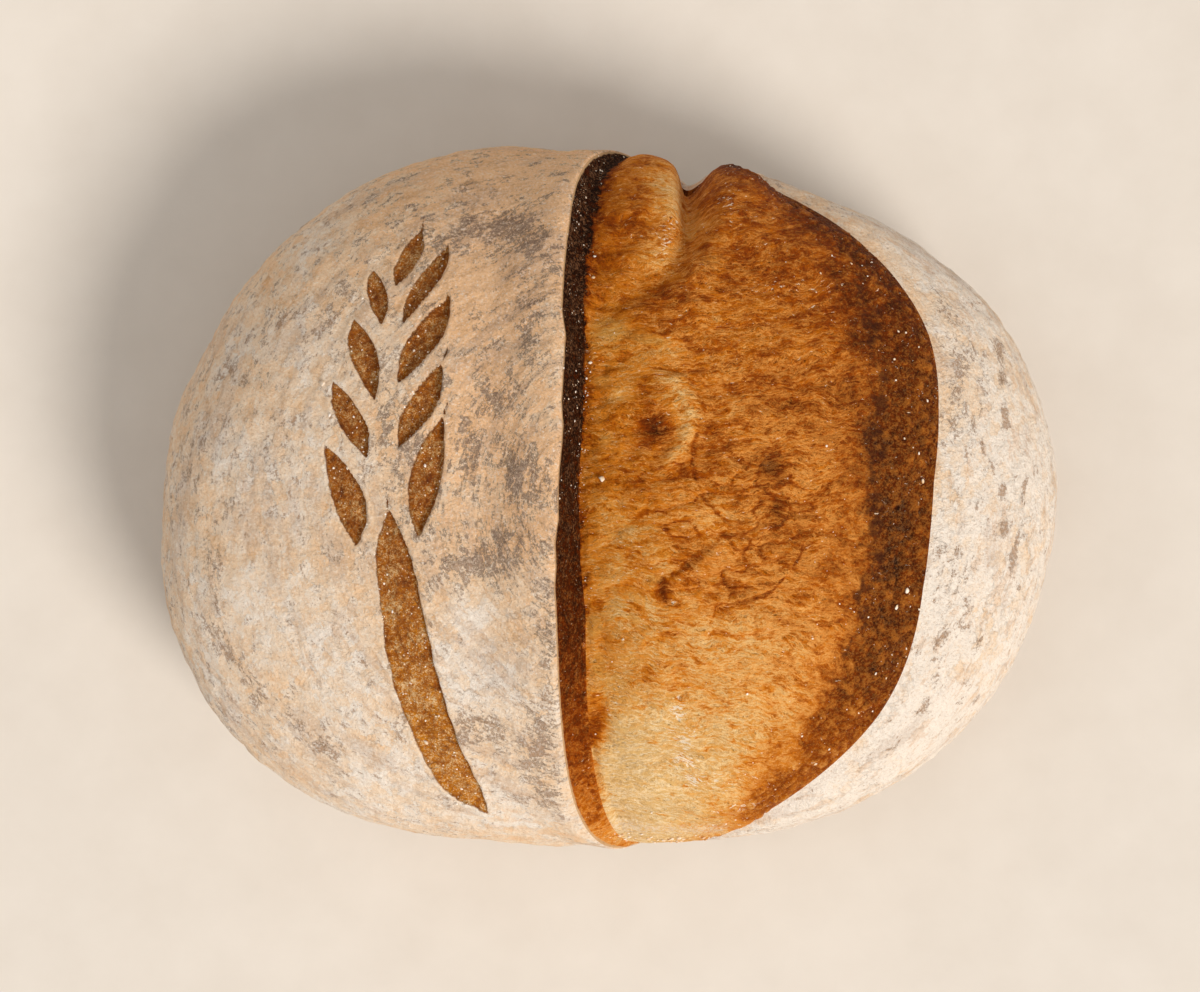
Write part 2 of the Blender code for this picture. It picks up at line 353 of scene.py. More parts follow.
def crust_bumps(sheet):
    """The uneven skin: slow swells, and small bumps drawn out around the loaf; flat at the base."""
    belt = np.stack([0.3 * sheet.points[..., 0], 0.3 * sheet.points[..., 1],
                     0.1 * np.arccos(np.clip(sheet.way[..., 2], -1, 1))], -1)
    sheet.belt = belt
    bumps = SWELL_HEIGHT * clouds(sheet.points, SWELL_SIZE, 2, seed=1)
    bumps += BUMP_HEIGHT * clouds(sheet.points, BUMP_SIZE, 3, seed=2) + 0.7 * BUMP_HEIGHT * clouds(belt, 3.2 * MM, 2, seed=4)
    return bumps * ease(sheet.points[..., 2], 0.2 * MM, 6 * MM)


class Shade:
    """One output of a shader node. Sums and products of shades add Math nodes."""

    def __init__(self, tree, socket):
        self.tree, self.socket = tree, socket

    def node(self, kind, settings=None, sockets=None, output=0):
        """Adds any node: its settings first, then the values or links of its sockets."""
        made = self.tree.nodes.new(kind)
        for name, value in (settings or {}).items():
            if name == "stops":
                for number, (place, colour) in enumerate(value):
                    stop = made.color_ramp.elements[number] if number < 2 else made.color_ramp.elements.new(place)
                    stop.position, stop.color = place, colour
            else:
                setattr(made, name, value)
        for name, value in (sockets or {}).items():
            if isinstance(value, Shade):
                self.tree.links.new(value.socket, made.inputs[name])
            else:
                made.inputs[name].default_value = value
        return Shade(self.tree, made.outputs[output])

    def maths(self, operation, *values):
        return self.node("ShaderNodeMath", {"operation": operation}, dict(enumerate(values)))

    def size(self): return self.maths("ABSOLUTE", self)

    def __add__(self, other): return self.maths("ADD", self, other)
    def __sub__(self, other): return self.maths("SUBTRACT", self, other)
    def __mul__(self, other): return self.maths("MULTIPLY", self, other)
    def __rsub__(self, other): return self.maths("SUBTRACT", other, self)
    def __truediv__(self, other): return self.maths("DIVIDE", self, other)
    __radd__, __rmul__ = __add__, __mul__

    def power(self, other): return self.maths("POWER", self, other)
    def lower(self, other): return self.maths("MINIMUM", self, other)
    def higher(self, other): return self.maths("MAXIMUM", self, other)

    def ease(self, low, high):
        """0 below low, 1 above high, and smooth between; low may be the larger."""
        if low > high:
            return 1.0 - self.ease(high, low)
        return self.node("ShaderNodeMapRange", {"interpolation_type": "SMOOTHSTEP"},
                         {"Value": self, "From Min": low, "From Max": high})

    def painted(self, name):
        """A value painted on the mesh."""
        return self.node("ShaderNodeAttribute", {"attribute_name": name}, output="Fac")

    def flow(self, name):
        """A vector painted on the mesh."""
        return self.node("ShaderNodeAttribute", {"attribute_name": name}, output="Vector")

    def noise(self, size, detail=3.0, rough=0.55, warp=0.0):
        """Cloudy noise on this vector, about 0 to 1, with lumps of the given size in metres."""
        return self.node("ShaderNodeTexNoise", {}, {"Vector": self, "Scale": 1.0 / size, "Detail": detail,
                                                    "Roughness": rough, "Distortion": warp}, output="Fac")

    def cells(self, size, feature="F1", output="Distance", randomness=1.0):
        """Voronoi cells of the given size on this vector."""
        return self.node("ShaderNodeTexVoronoi", {"feature": feature},
                         {"Vector": self, "Scale": 1.0 / size, "Randomness": randomness}, output=output)

    def stretch(self, x, y, z):
        return self.node("ShaderNodeVectorMath", {"operation": "MULTIPLY"}, {0: self, 1: (x, y, z)})

    def shift(self, other, amount):
        """This vector moved by a colour or vector of noise, centred, times an amount in metres."""
        centred = self.node("ShaderNodeVectorMath", {"operation": "SUBTRACT"}, {0: other, 1: (0.5, 0.5, 0.5)})
        moved = self.node("ShaderNodeVectorMath", {"operation": "SCALE"}, {0: centred, "Scale": amount})
        return self.node("ShaderNodeVectorMath", {"operation": "ADD"}, {0: self, 1: moved})

    def tint(self, *stops):
        """A colour for each value: (value, sRGB colour out of 255), ..."""
        return self.node("ShaderNodeValToRGB", {"stops": [(place, rgb(*colour)) for place, colour in stops]},
                         {"Fac": self}, output="Color")

    def blend(self, under, over):
        """One colour under another, with this shade as the cover."""
        colours = {key: rgb(*value) if isinstance(value, tuple) else value for key, value in ((6, under), (7, over))}
        return self.node("ShaderNodeMix", {"data_type": "RGBA"}, {0: self, **colours}, output=2)


def rgb(red, green, blue):
    """A linear colour from sRGB out of 255."""
    return tuple((v / 255 / 12.92) if v <= 10 else ((v / 255 + 0.055) / 1.055) ** 2.4 for v in (red, green, blue)) + (1.0,)


def start_finish(name):
    """A new material, and the place on the loaf to build its shades from."""
    material = bpy.data.materials.new(name)
    material.use_nodes = True
    spot = Shade(material.node_tree, None).node("ShaderNodeTexCoord", output="Object")
    return material, spot


def finish_surface(material, colour, roughness, height, specular=0.3):
    """Joins a colour, a roughness and a height in millimetres to the surface."""
    shader = material.node_tree.nodes["Principled BSDF"]
    shader.inputs["Specular IOR Level"].default_value = specular
    links = material.node_tree.links
    links.new(colour.socket, shader.inputs["Base Color"])
    if isinstance(roughness, Shade):
        links.new(roughness.socket, shader.inputs["Roughness"])
    else:
        shader.inputs["Roughness"].default_value = roughness
    bump = height.node("ShaderNodeBump", {}, {"Height": height, "Distance": MM, "Strength": 1.0}, output="Normal")
    links.new(bump.socket, shader.inputs["Normal"])


def floured_finish(name):
    """Matte flour over a toasted skin, with bare brown dough in the cuts."""
    material, spot = start_finish(name)
    belt, cut = spot.flow("belt"), spot.painted("cut")
    thin, thick = spot.painted("thin"), spot.painted("thick")

    cloud = spot.noise(5.0 * MM, 8, 0.70, 0.4)
    drift = belt.noise(4.2 * MM, 7, 0.70, 0.3)
    patch = spot.noise(24 * MM, 4, 0.62)
    fine = spot.noise(1.2 * MM, 5, 0.75)
    grain = spot.noise(0.45 * MM, 3, 0.8)
    speck = spot.noise(0.8 * MM, 4, 0.85)
    streak = belt.noise(1.2 * MM, 6, 0.74)
    fray = spot.node("ShaderNodeTexNoise", {}, {"Vector": spot, "Scale": 300.0, "Detail": 5.0, "Roughness": 0.65}, output="Color")
    flaky = spot.shift(fray, 6.0 * MM)
    flake = flaky.cells(3.0 * MM, output="Color")
    hairline = flaky.cells(3.0 * MM, "DISTANCE_TO_EDGE").ease(0.050, 0.005) * belt.noise(6.0 * MM, 5, 0.7).ease(0.46, 0.60)

    white = spot.painted("white") + 1.2 * (patch - 0.5) + 0.9 * (cloud - 0.5) + 0.8 * (drift - 0.5) + 0.25 * thick
    white = white + 0.55 * (flake - 0.5) + 0.5 * (fine - 0.5)
    coat = white.tint((0.05, (250, 202, 154)), (0.35, (250, 213, 173)), (0.65, (252, 226, 197)), (0.95, (255, 241, 225)))
    coat = (belt.noise(3.0 * MM, 6, 0.70).ease(0.54, 0.60) * 0.30).blend(coat, (224, 168, 108))
    coat = ((belt.noise(8.0 * MM, 7, 0.70) - 0.05 * thick).ease(0.50, 0.58) * 0.30).blend(coat, (198, 170, 150))
    coat = (speck.ease(0.46, 0.36) * 0.45).blend(coat, (198, 156, 120))
    coat = (speck.ease(0.54, 0.64) * 0.60).blend(coat, (255, 246, 236))
    bald = 0.45 * streak + 0.30 * fine + 0.25 * grain + 0.14 * (flake - 0.5) + 0.30 * (cloud - 0.5) + 0.20 * (drift - 0.5)
    bald = bald + 0.14 * thin - 0.06 * thick - 0.02 * spot.painted("white")
    covered = 1.0 - bald.ease(0.548, 0.575) * (1.0 - 0.85 * speck.ease(0.50, 0.56) * bald.ease(0.80, 0.58))
    skin = (0.5 * grain + 0.5 * fine).tint((0.36, (84, 66, 60)), (0.50, (130, 106, 94)), (0.64, (202, 172, 148)))
    skin = (white.ease(0.45, 0.85) * 0.80).blend(skin, (192, 148, 110))
    crack = hairline * (0.10 + 1.0 * thin - 0.3 * thick + 1.6 * (drift - 0.5) + 1.2 * (fine - 0.5)).ease(0.05, 0.40)
    coat = (0.22 + 0.78 * covered).blend(skin, coat)
    coat = (crack * 0.50).blend(coat, (138, 106, 82))

    edge = cut + 0.5 * (fine - 0.5) + 0.2 * (grain - 0.5)
    bare = spot.noise(1.6 * MM, 5, 0.76)
    tone = 0.42 + 1.0 * (bare - 0.5) + 0.6 * (cloud - 0.5) + 0.14 * spot.painted("golden")
    glaze = tone.tint((0.25, (112, 50, 0)), (0.45, (164, 88, 2)), (0.65, (208, 130, 14)))
    crumbs = tone.tint((0.25, (168, 118, 64)), (0.45, (206, 158, 98)), (0.65, (242, 206, 154)))
    dusted = 0.22 + 4.5 * (grain - 0.5) + 3.0 * (fine - 0.5) + 2.4 * (cloud - 0.5)
    dough = dusted.ease(0.05, 0.95).blend(glaze, crumbs)
    dough = (streak.ease(0.44, 0.36) * 0.55).blend(dough, (72, 30, 6))
    dough = ((0.6 * grain + 0.4 * bare).ease(0.60, 0.65) * 0.8).blend(dough, (246, 230, 210))
    # Painted shade: the dough darkens to deep brown within half a millimetre inside the walls of the cuts, where the
    # walls shade it.
    dough = (cut.ease(0.5, -0.1) * 0.5).blend(dough, (62, 30, 8))
    in_cut = edge.ease(-0.10, 0.10)
    colour = in_cut.blend(coat, dough)

    roughness = 0.92 - 0.34 * in_cut
    lumps = spot.noise(2.6 * MM, 5, 0.62)
    height = (0.14 * covered + 0.8 * cloud + 1.3 * lumps + 0.8 * fine + 0.5 * speck
              + 0.16 * flake - 0.14 * hairline * (1.0 - in_cut))
    finish_surface(material, colour, roughness, height, specular=0.22)
    return material


def evened(sheet, amount, low_amount):
    """The same amount of flour all round the foot of the loaf, where both skins meet."""
    low = ease(sheet.points[..., 2], 0.45 * girth_z + 14 * MM, 0.45 * girth_z - 6 * MM)
    return amount + low * (low_amount - amount)


left = Sheet(EAR_LIP, 270.0, 205, crowding=1.2)
bumps = crust_bumps(left) * ease(left.across, 0.4 * MM, 4 * MM)
on_top = left.points[..., 2] > girth_z
cut_by = np.full(left.angle.shape, -4.0 * MM)
for grain in GRAINS:
    cut_by = np.maximum(cut_by, inside_by(left.plan, grain_outline(*grain) * MM))
cut_by = np.maximum(cut_by, inside_by(left.plan, outline(STALK_LEFT, STALK_RIGHT) * MM))
for flick in FLICKS:
    gap, share, _ = beside_path(left.plan, np.array(flick) * MM)
    cut_by = np.maximum(cut_by, FLICK_HALF_WIDTH * MM * (1 - share) - gap)
cut_by = np.where(on_top, cut_by, -4.0 * MM)
wall = ease(cut_by, -0.15 * MM, CUT_WALL)
bumps = bumps * (1 - 0.5 * wall) - CUT_DEPTH * wall + CUT_FLOOR * ease(cut_by, CUT_WALL, 4.5 * MM)
bumps += 0.25 * MM * hump(cut_by + 0.6 * MM, 0.7 * MM)           # the flour stands up along the cuts
left.lift(bumps)

x, y = left.plan[..., 0] / MM, left.plan[..., 1] / MM
floured = floured_finish("floured_crust")
white = 0.62 - 0.52 * ease(x, -85, -30) * ease(y, -55, 0) - 0.10 * ease(y, 20, 80)
left_crust = left.mesh(
    "crust_left", floured, belt=left.belt, cut=np.clip(cut_by / MM, -4, 4), thin=patches(left.plan, THIN_FLOUR) * on_top,
    thick=evened(left, patches(left.plan, THICK_FLOUR), 0.3), white=evened(left, white, 0.68), golden=ease(y, 0, -70))
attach(left_crust, "root")
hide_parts("loaf")


# ---- The bloom and the cut face of the ear ----
# Where the score tore open, the inside of the dough came out bare and baked golden. Gluten drew it into fine
# strands that run across the tear. It is darkest on the face of the ear and in a band along the far skin, palest low at
# the front, and folded over itself in a few places. The cut face above it is nearly black.

STRAND_WIDTH, STRAND_HEIGHT, STRAND_DRAW = 2.0 * MM, 0.34 * MM, 0.13
ROLL_SIZE, ROLL_HEIGHT = 26.0 * MM, 1.1 * MM
LUMP_SIZE, LUMP_HEIGHT = 8.0 * MM, 0.40 * MM
CHAR_ALONG = ((-92, 0.05), (-82, 0.12), (-68, 0.28), (-50, 0.40), (-25, 0.55), (-8, 0.74), (10, 0.88), (30, 1.0))   # y, how burnt
# Creases where one skin of crumb lies over another, from above: stops, depth, step down on its left side.
CREASES = (
    (((23.7, 21.7), (21.8, 10.2), (23.0, 4.5), (24.9, -0.3), (28.5, -4.2), (31.8, -6.4)), 0.9, -0.7),
    (((32.0, -7.0), (28.0, -10.9), (23.5, -14.5), (19.1, -18.3), (14.7, -20.9)), 0.8, 0.8),
    (((31.8, -6.4), (35.4, -5.8), (39.1, -8.0), (38.6, -11.5), (34.2, -13.5), (31.2, -11.0), (31.8, -6.4)), 0.6, -0.6),
    (((46.0, 1.5), (46.8, -3.0), (44.0, -6.8), (40.5, -7.4)), 0.9, -0.7),
    (((50.5, -10.0), (49.2, -15.4), (46.2, -19.7), (41.2, -24.6), (31.8, -27.2), (23.0, -26.6)), 0.9, -0.8),
    (((20.5, -20.3), (29.3, -18.9), (39.3, -16.9), (47.9, -13.5)), 0.4, 0.4),
    (((24.0, -23.2), (31.0, -22.6), (38.0, -21.6)), 0.35, 0.3),
    (((10.3, -34.0), (23.0, -35.2), (39.3, -34.6), (50.5, -34.0)), 0.5, 0.4),
    (((2.0, -29.0), (9.0, -28.0), (16.0, -29.5), (24.0, -30.5)), 0.4, 0.3),
    (((5.2, 35.4), (13.7, 33.6), (19.5, 31.5), (24.0, 25.0), (25.6, 18.5), (23.8, 12.0)), 0.25, -0.45),
    (((14.0, 48.0), (24.0, 44.0), (36.0, 45.0), (48.0, 40.0)), 0.3, 0.3),
    (((6.0, 12.0), (10.0, 8.5), (15.0, 7.5), (19.0, 9.5)), 0.4, 0.4),
)
# Pale threads stretched thin and dry on the front slope, painted near-white as highlights where they catch the light:
# x, y, half lengths, turn, strength.
THREAD_GLINTS = (
    (18.5, -56, 2.0, 3.6, 10, 0.62), (20, -64, 3.0, 3.0, -10, 0.66), (20.5, -69, 3.4, 3.0, -15, 0.66),
    (22, -74, 3.0, 2.4, 0, 0.6), (17, -61, 2.0, 2.0, 0, 0.5), (31, -74, 7, 2.4, 8, 0.36), (34, -82, 9, 1.8, 10, 0.40),
    (57, 55, 4, 2.2, 0, 0.40), (44, 55, 6, 3, 0, 0.30), (15, 70, 3, 7, -10, 0.36), (31, 78, 3, 6, 0, 0.34),
)
BACK_LOBES = ((8, 88, 10, 16, 0, 1.0), (35, 88, 8, 12, 0, 1.0))       # either side of the fold, at the back
RIDGE = ((9.3, 33.0), (17.0, 29.5), (20.8, 24.0), (20.6, 17.6), (17.5, 11.5), (11.0, 6.5))    # a pale rolled fold
# Spots of thin dull film beside the ear, where the crumb tore open in holes: x, y, half lengths, turn, strength.
FILMS = ((-3.6, -33, 2.4, 3.6, 0, 1.0), (-2.6, -43, 2.2, 3.6, 0, 0.8), (0.5, 44, 6, 3.2, -15, 0.9), (-1.5, 30, 3.2, 2.4, 0, 0.7),
         (10, 41, 7, 1.6, -12, 0.8), (-0.5, 15, 2.5, 2.5, 0, 0.6), (23, 72, 3, 9, -20, 0.5), (27, 62, 6, 3, 30, 0.5),
         (3, -70, 7, 12, 0, 0.4), (12, -21, 3, 2, 0, 0.7))
# Pits, and dark blots around them: x, y, half lengths, turn, strength.
PITS = ((12.3, 17.9, 4.6, 3.6, 0, 1.0), (41.6, 8.6, 2.4, 2.6, 0, 0.9), (14.0, -22.6, 1.6, 3.2, 0, 1.0),
        (43.2, -2.4, 1.2, 2.6, 0, 0.6), (-1.6, -37.0, 1.8, 3.2, 0, 0.8), (-1.4, -56.0, 1.6, 2.4, 0, 0.6),
        (-1.0, 33.0, 1.4, 1.4, 0, 0.9))
SLITS = ((76.9, -17.6, 0.9, 4.2, -8, 1.0), (79.9, -9.2, 0.8, 2.2, 0, 0.9), (80.6, 17.2, 0.9, 2.2, 5, 1.0),
         (73.0, -29.0, 0.9, 3.0, -15, 0.6))
DARKER = (
    (12.5, 18.5, 5.5, 5, 10, 0.24), (4.5, 24.5, 5, 3, 20, 0.14), (42.5, 8.0, 5, 5, 10, 0.24), (4, 3, 6, 4, 0, 0.10),
    (14.5, -24, 2.2, 3, 0, 0.26), (43, -3, 4, 6, 0, 0.15), (25, 12, 8, 7, 0, 0.10), (-1, 70, 8, 16, 0, 0.14),
    (7, 76, 8, 7, 0, 0.10), (-2, 52, 3, 12, 0, 0.12), (36, 62, 12, 9, 0, 0.08), (12, 50, 9, 6, 20, 0.12),
    (33, -22, 12, 5, 0, 0.06), (18, -15, 5, 4, 45, 0.10), (73, -14, 5, 18, 0, 0.10), (46, 26, 10, 10, 0, 0.12),
    (62, 22, 8, 9, 0, 0.08), (46, -8, 10, 8, 0, 0.08), (70, 10, 5, 16, 0, 0.08), (67, 45, 5, 10, 10, 0.04),
    (-3, -60, 3, 6, 0, 0.42), (-4, -74, 3, 9, 20, 0.30), (-1.5, 26, 4, 4, 0, 0.10), (36, 4, 5, 5, 0, 0.08),
)
PALER = (
    (16, 79, 6, 8, 10, 0.22), (13.5, 64, 6, 4, 30, 0.14), (21, 73, 4, 6, 0, 0.14), (-1, 43, 6, 5, 0, 0.16),
    (3, 26, 4, 3, 0, 0.20), (18.5, 20, 4, 10, 8, 0.16), (5, -8, 8, 6, 0, 0.10), (12, 38, 8, 4, 0, 0.10),
    (3, -18, 5, 6, 0, 0.08), (14.5, -16, 5, 3.5, -40, 0.18), (1, 0, 4, 4, 0, 0.10),
    (3, -28, 4, 5, 0, 0.12), (15, -56, 6, 5, 0, 0.05), (50, 3, 5, 6, 0, 0.06), (24, -38, 16, 6, 0, 0.08), (9, -28, 9, 6, 0, 0.10),
    (27, -5, 9, 6, 0, 0.10), (64, -8, 6, 8, 0, 0.08),
)


def baked_finish(name, specular):
    """Bare baked crumb: pale and deep strands of gluten, toasted from cream to dark brown, with grains of flour."""
    material, spot = start_finish(name)
    drawn, bake = spot.flow("drawn"), spot.painted("bake")
    up_face, under_lip, band = spot.painted("up_face"), spot.painted("under_lip"), spot.painted("band")
    crease, pit, pale_edge = spot.painted("crease"), spot.painted("pit"), spot.painted("torn_edge")

    sway = spot.node("ShaderNodeTexNoise", {}, {"Vector": spot, "Scale": 90.0, "Detail": 2.0}, output="Color")
    fray = spot.node("ShaderNodeTexNoise", {}, {"Vector": spot, "Scale": 560.0, "Detail": 4.0}, output="Color")
    strands = drawn.shift(sway, 5.0 * MM).shift(fray, 1.5 * MM)
    blotch = strands.stretch(0.8, 1.0, 0.8).noise(6.0 * MM, 8, 0.74)
    tuft = strands.stretch(0.45, 1.0, 0.6).noise(1.7 * MM, 6, 0.74)
    thread = strands.stretch(0.28, 1.0, 0.6).noise(0.60 * MM, 3, 0.65)
    fibre = (strands.stretch(0.20, 1.0, 0.6).noise(1.2 * MM, 4, 0.64) - 0.5).size().ease(0.08, 0.005)
    fine = spot.noise(1.0 * MM, 5, 0.75)
    grain = spot.noise(0.42 * MM, 3, 0.8)
    stain = strands.stretch(0.42, 1.0, 0.7).noise(2.6 * MM, 7, 0.72)
    speck = spot.noise(0.7 * MM, 4, 0.85)
    edge = strands.stretch(0.5, 1.0, 0.7).noise(5.0 * MM, 7, 0.76)
    band = (band + band.ease(0.0, 0.2) * 1.1 * (edge - 0.5)).ease(0.04, 0.94)

    deep = (stain + 0.30 * (bake - 0.42) + 0.3 * (tuft - 0.5) + 0.20 * crease).ease(0.46, 0.62) * (1.0 - 0.7 * band)
    tone = (bake + spot.painted("band_bake") * band + 0.40 * (blotch - 0.5) + 0.34 * (tuft - 0.5)
            + (0.28 - 0.32 * bake) * (deep - 0.4) + (0.30 + 0.3 * band) * (fine - 0.5) + 0.12 * pit + 0.22 * crease * (tuft + fine - 0.2))
    ragged = up_face + 9.0 * (spot.noise(3.6 * MM, 6, 0.72) - 0.5)
    char = ragged.ease(-0.8, 0.9) * spot.painted("char")
    singed = spot.noise(2.2 * MM, 5, 0.78)
    wrinkle = spot.painted("wrinkle")
    scorch = (up_face + 12.0 * (singed - 0.5)).ease(-3.5, 0.5) * spot.painted("char")
    tone = tone + 0.16 * scorch * (1.0 - char) - 0.20 * band * (wrinkle - 0.3)
    tone = tone + char * (0.98 - tone + 0.9 * (singed - 0.5) + 0.8 * (fine - 0.5))

    plain = (1.0 - band) * (1.0 - char)
    pale = 0.36 + 0.26 * spot.painted("rosy") - 0.30 * deep
    pale = pale + plain * (2.2 * (thread - 0.5) + 0.50 * (fibre - 0.35) + 1.5 * (tuft - 0.5) + 1.2 * (fine - 0.5)
                           + 1.4 * (grain - 0.5))
    pale = pale + char * (8.0 * (speck - 0.5) + 5.0 * (singed - 0.5) - 0.14)
    pale = pale + band * (5.0 * (speck - 0.5) + 3.2 * (fine - 0.5) + 0.7 * (wrinkle - 0.3) - 0.10)
    under = tone.tint((0.00, (230, 184, 116)), (0.12, (226, 160, 76)), (0.26, (222, 134, 36)), (0.40, (196, 106, 10)),
                      (0.50, (170, 82, 0)), (0.60, (138, 58, 0)), (0.74, (100, 38, 0)), (0.86, (62, 22, 0)),
                      (0.96, (30, 10, 0)))
    over = tone.tint((0.00, (250, 220, 172)), (0.12, (246, 208, 148)), (0.26, (240, 184, 110)), (0.40, (231, 153, 72)),
                     (0.50, (214, 136, 58)), (0.60, (192, 114, 38)), (0.74, (166, 98, 36)), (0.86, (136, 82, 36)),
                     (0.96, (124, 84, 56)))
    colour = pale.ease(0.02, 0.98).blend(under, over)
    bruise = spot.painted("bruise") + 3.0 * (spot.noise(4.5 * MM, 5, 0.7) - 0.5) * spot.painted("bruise").ease(0.0, 0.3)
    colour = (bruise.ease(0.45, 1.0) * 0.75).blend(colour, (70, 32, 16))
    filmy = (spot.painted("film") + 0.8 * (tuft - 0.5)).ease(0.25, 0.65)
    colour = (filmy * 0.32).blend(colour, (210, 158, 76))
    # Painted highlight: near-white glints on the pale threads and fine strands of the front slope.
    glint = (spot.painted("tears") + 0.8 * (tuft - 0.5) + 3.0 * (thread - 0.5)).ease(0.56, 0.70)
    colour = (glint * 0.85).blend(colour, (253, 232, 204))
    torn = pale_edge * (fine + 0.4 * (grain - 0.5)).ease(0.40, 0.60)
    colour = torn.blend(colour, (238, 214, 184))
    rim = under_lip.ease(0.95, 0.45) * (0.5 + fine).lower(1.0)
    colour = rim.blend(colour, (214, 172, 126))

    roughness = 0.66 - 0.16 * (thread - 0.5) - 0.12 * band + 0.12 * char
    height = (plain * (1.1 * tuft + 0.60 * thread + 0.10 * fibre) + 0.55 * fine
              + (1.0 - plain) * (0.6 * grain + 0.5 * speck + 0.5 * fine))
    finish_surface(material, colour, roughness, height, specular)
    return material


bloom = Sheet(FOOT_OF_CUT, SKIN_EDGE, 190)
plan = bloom.plan / MM
x, y = plan[..., 0], plan[..., 1]
to_skin = bloom.run - bloom.across
share = bloom.across / np.maximum(bloom.run, MM)
rings_down = np.concatenate([[0.0], np.cumsum(np.linalg.norm(np.diff(bloom.points[:, 80], axis=0), axis=1))])
drift = 0.5 * bloom.points[..., 1] + 0.5 * (rings_down[RINGS // 2] - rings_down)[:, None]
drawn = np.stack([bloom.across, drift + 1.2 * MM * clouds(bloom.points, 14 * MM, 2, seed=11), 0.3 * bloom.points[..., 2]], -1)

pit, slit = patches(bloom.plan, PITS), patches(bloom.plan, SLITS)
crease, steps = np.zeros_like(x), np.zeros_like(x)
for stops, depth, step in CREASES:
    gap, place, side = beside_path(bloom.plan, smooth_path(stops, 40) * MM)
    gap = np.maximum(0, gap / MM + 0.5 * clouds(bloom.points, 3 * MM, 2, seed=18))
    fade = ease(place, 0.0, 0.15) * ease(place, 1.0, 0.85)
    broken = 0.35 + 0.65 * ease(clouds(bloom.points, 4.5 * MM, 2, seed=19), -0.6, 0.3)
    crease = np.maximum(crease, 0.8 * depth * fade * broken * hump(gap, 0.55))
    steps += fade * (-depth * 0.35 * broken * hump(gap, 0.6) + 0.75 * step * side * hump(gap, 3.0) * ease(gap, 0.0, 0.8))
gap, place, _ = beside_path(bloom.plan, smooth_path(RIDGE, 40) * MM)
ridge = hump(gap / MM, 2.0) * ease(place, 0.0, 0.2) * ease(place, 1.0, 0.8)

middle = 1.0 - bloom.along ** 4
band_start = 0.775 + 0.07 * ease(y, 40.0, 75.0) - 0.02 * ease(y, -35.0, -75.0) + 0.045 * clouds(bloom.points, 12 * MM, 3, seed=12)
band = np.clip(0.5 + (share - band_start) / 0.25, 0.0, 1.0) * ease(y, -92, -80)
bruise = 0.8 * hump(share - band_start - 0.03, 0.035) * ease(y, -58.0, -35.0) * ease(y, 75.0, 45.0)
calm = ease(bloom.across, 0.2 * MM, 2.5 * MM) * ease(to_skin, 0.2 * MM, 2.0 * MM) * np.sqrt(np.clip(middle * 4, 0, 1))
strand_field = drawn * (STRAND_DRAW, 1.0, 1.0)
strands = clouds(strand_field, STRAND_WIDTH, 3, seed=13)
wrinkle = np.abs(clouds(bloom.points, 3.6 * MM, 3, seed=14))
net = np.abs(clouds(drawn * (0.55, 1.0, 1.0), 8.0 * MM, 2, seed=20))      # overlapping skins of crumb
rosette = 0.15 + 0.85 * patches(bloom.plan, ((30, -10, 26, 24, 0, 1.0),)) * (1.0 - band)
crease = np.maximum(crease, 0.8 * hump(net, 0.05) * rosette)
relief = (ROLL_HEIGHT * clouds(bloom.points, ROLL_SIZE, 2, seed=15) + LUMP_HEIGHT * clouds(bloom.points, LUMP_SIZE, 2, seed=16)
          + STRAND_HEIGHT * strands * (1.0 - 0.6 * band) + 1.0 * MM * band * (wrinkle - 0.2)
          + 0.8 * MM * rosette * (ease(net, 0.0, 0.30) - 0.7))
relief += MM * (steps - 1.2 * pit - 1.1 * slit + 1.2 * ridge)
lobes = 2.2 * MM * ease(y, 58.0, 86.0) * patches(bloom.plan, BACK_LOBES)
bloom.lift(relief * calm + lobes * ease(bloom.across, 0.0, 6 * MM) * ease(to_skin, 0.0, 5 * MM))

bake = (0.435 - 0.08 * ease(y, -8.0, -40.0) - 0.125 * ease(y, -40.0, -64.0) - 0.14 * ease(y, -44, -80) * ease(x, 45, 5)
        - 0.08 * ease(share, 0.35, 0.05)
        + 0.08 * ease(share, 0.45, 0.8) + patches(bloom.plan, DARKER) - patches(bloom.plan, PALER) - 0.08 * ridge)
rosy = ease(share, 0.2, 0.55) * ease(y, -80.0, -35.0) * ease(y, 55.0, 15.0) + 0.7 * ridge - 1.1 * ease(share, 0.30, 0.05) * ease(y, -78.0, -45.0)
band_bake = 0.24 + 0.10 * ease(y, -10.0, -50.0) - 0.09 * ease(y, -55.0, -80.0)
# Where the painted highlights on the pale threads lie.
tears = patches(bloom.plan, THREAD_GLINTS)
torn_edge = hump(to_skin / MM, 1.6) * ease(y, -81.0, -87.0) + 0.8 * hump(y + 88.5, 1.5) * (x < 32) * (bloom.points[..., 2] > girth_z)
bloom_piece = bloom.mesh(
    "bloom", baked_finish("baked_crumb", 0.08), drawn=drawn, bruise=bruise, film=patches(bloom.plan, FILMS), bake=bake, band=band, wrinkle=wrinkle, band_bake=band_bake, tears=tears, rosy=rosy, crease=np.clip(crease, 0, 1), pit=np.clip(pit + slit, 0, 1),
    torn_edge=np.clip(torn_edge, 0, 1), up_face=2.2 * ease(y, 40, 75) - np.clip(bloom.across / MM, 0, 20), under_lip=np.full_like(x, 20.0),
    char=np.interp(y, *zip(*CHAR_ALONG)))
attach(bloom_piece, "root")
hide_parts("loaf")

